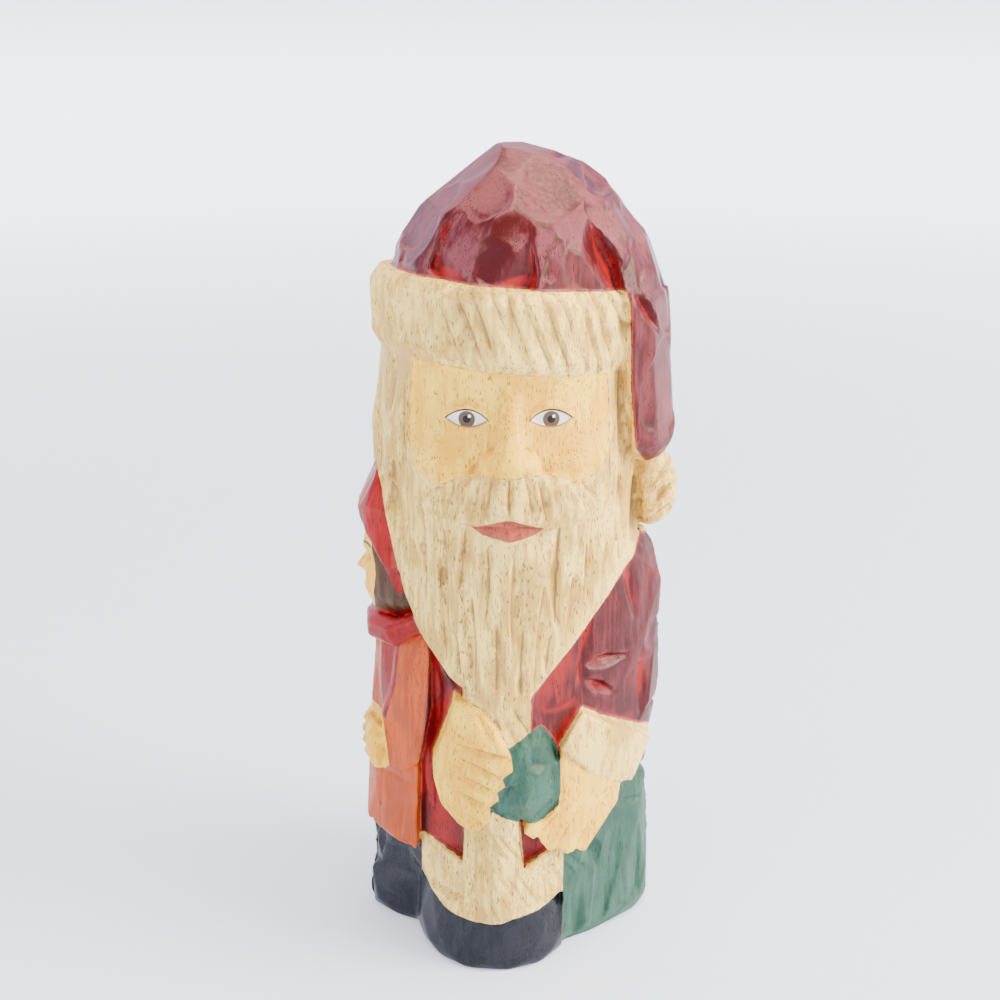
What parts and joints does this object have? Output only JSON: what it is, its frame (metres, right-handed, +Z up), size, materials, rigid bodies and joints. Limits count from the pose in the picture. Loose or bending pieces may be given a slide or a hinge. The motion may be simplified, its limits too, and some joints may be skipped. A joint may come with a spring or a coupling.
{
  "type": "santa figurine",
  "caption": "Carved and painted wooden figurine of a bearded man in a red stocking cap holding a green sack, with a child at his side.",
  "frame": {"origin": "Under the middle of the figurine's box, on the flat underside it stands on.", "axes": "+Z is up, the man faces -Y, and the child is on the -X side."},
  "size_m": [0.0596, 0.0536, 0.1496],
  "materials": {
    "painted_wood": "hand painted in red, cream, green and orange over carved wood, with a satin varnish"
  },
  "bodies": {
    "root": {"santa_figurine": "painted_wood"}
  },
  "joints": []
}
